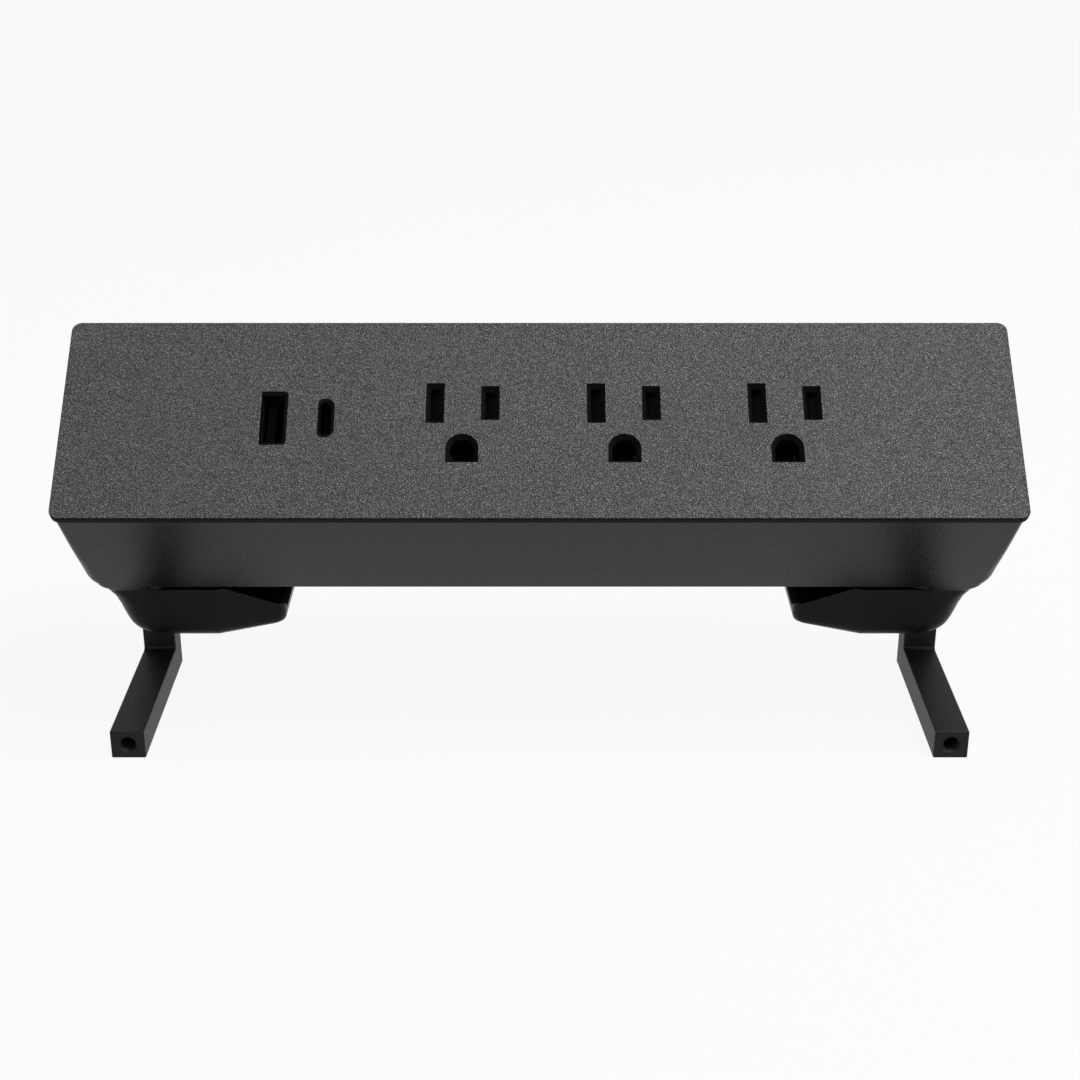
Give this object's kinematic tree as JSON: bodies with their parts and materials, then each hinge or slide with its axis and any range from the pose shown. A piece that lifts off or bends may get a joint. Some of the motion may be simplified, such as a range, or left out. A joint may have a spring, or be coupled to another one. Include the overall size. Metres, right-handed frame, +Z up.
{
  "type": "power strip",
  "caption": "Desk-edge power strip: sloping grained face with grounded outlets and two USB ports, tub housing on hollow feet, and two sliding L-shaped clamp arms.",
  "frame": {"origin": "centre of the bounding box in X and Y, at the arms' undersides", "axes": "+X to the right of a user who faces the outlets, -Y towards the user, +Z up"},
  "size_m": [0.22, 0.0678, 0.0924],
  "materials": {
    "plate_black": "fine pebble-grained moulded plastic",
    "housing_black": "lightly textured moulded plastic",
    "arm_black": "black powder-coated steel bar",
    "pad_rubber": "soft matt rubber",
    "zinc": "die-cast zinc",
    "screw_steel": "zinc-plated steel",
    "lock_steel": "blackened steel",
    "carrier_plastic": "glass-filled nylon",
    "brass": "stamped brass",
    "shutter_plastic": "smooth acetal",
    "spring_steel": "spring wire",
    "board_green": "fibreglass board with solder mask",
    "port_steel": "tinned steel",
    "port_black": "port insulator",
    "tape_yellow": "winding tape and ferrite",
    "can_blue": "sleeved capacitor can",
    "chip_black": "moulded chip",
    "block_white": "terminal block nylon",
    "lead_black": "insulated lead",
    "lead_white": "insulated lead",
    "lead_green": "insulated lead",
    "gland_black": "nylon"
  },
  "bodies": {
    "body": {"face_plate": "plate_black", "housing": "housing_black", "left_sole_pad": "pad_rubber", "right_sole_pad": "pad_rubber", "left_guide": "zinc", "right_guide": "zinc", "guide_screws": "screw_steel", "left_lock_screw": "lock_steel", "right_lock_screw": "lock_steel", "contact_carrier": "carrier_plastic", "carrier_cover": "carrier_plastic", "carrier_screws": "screw_steel", "neutral_bus": "brass", "line_bus": "brass", "ground_bus": "brass", "shutter_spring_1": "spring_steel", "shutter_spring_2": "spring_steel", "shutter_spring_3": "spring_steel", "usb_board": "board_green", "usb_a_shell": "port_steel", "usb_a_tongue": "port_black", "usb_c_shell": "port_steel", "usb_c_tongue": "port_black", "transformer": "tape_yellow", "capacitors": "can_blue", "power_chips": "chip_black", "board_screws": "screw_steel", "terminal_block": "block_white", "terminal_screws": "screw_steel", "line_lead": "lead_black", "neutral_lead": "lead_white", "ground_lead": "lead_green", "usb_leads": "lead_black", "cord_gland": "gland_black", "gland_nut": "gland_black", "plate_screws": "screw_steel"},
    "left_arm": {"left_arm": "arm_black", "left_stop_screw": "screw_steel"},
    "right_arm": {"right_arm": "arm_black", "right_stop_screw": "screw_steel"},
    "shutter_1": {"shutter_1": "shutter_plastic"},
    "shutter_2": {"shutter_2": "shutter_plastic"},
    "shutter_3": {"shutter_3": "shutter_plastic"}
  },
  "joints": [
    {"name": "left_arm_slide", "type": "slide", "parent": "body", "child": "left_arm", "axis": [0, 0, -1], "range_m": [0, 0.025]},
    {"name": "right_arm_slide", "type": "slide", "parent": "body", "child": "right_arm", "axis": [0, 0, -1], "range_m": [0, 0.025]},
    {"name": "shutter_1_slide", "type": "slide", "parent": "body", "child": "shutter_1", "axis": [1, 0, 0], "range_m": [0, 0.003], "stiffness_N_per_m": 120, "springref_m": -0.002, "deforming": ["shutter_spring_1"]},
    {"name": "shutter_2_slide", "type": "slide", "parent": "body", "child": "shutter_2", "axis": [1, 0, 0], "range_m": [0, 0.003], "stiffness_N_per_m": 120, "springref_m": -0.002, "deforming": ["shutter_spring_2"]},
    {"name": "shutter_3_slide", "type": "slide", "parent": "body", "child": "shutter_3", "axis": [1, 0, 0], "range_m": [0, 0.003], "stiffness_N_per_m": 120, "springref_m": -0.002, "deforming": ["shutter_spring_3"]}
  ]
}
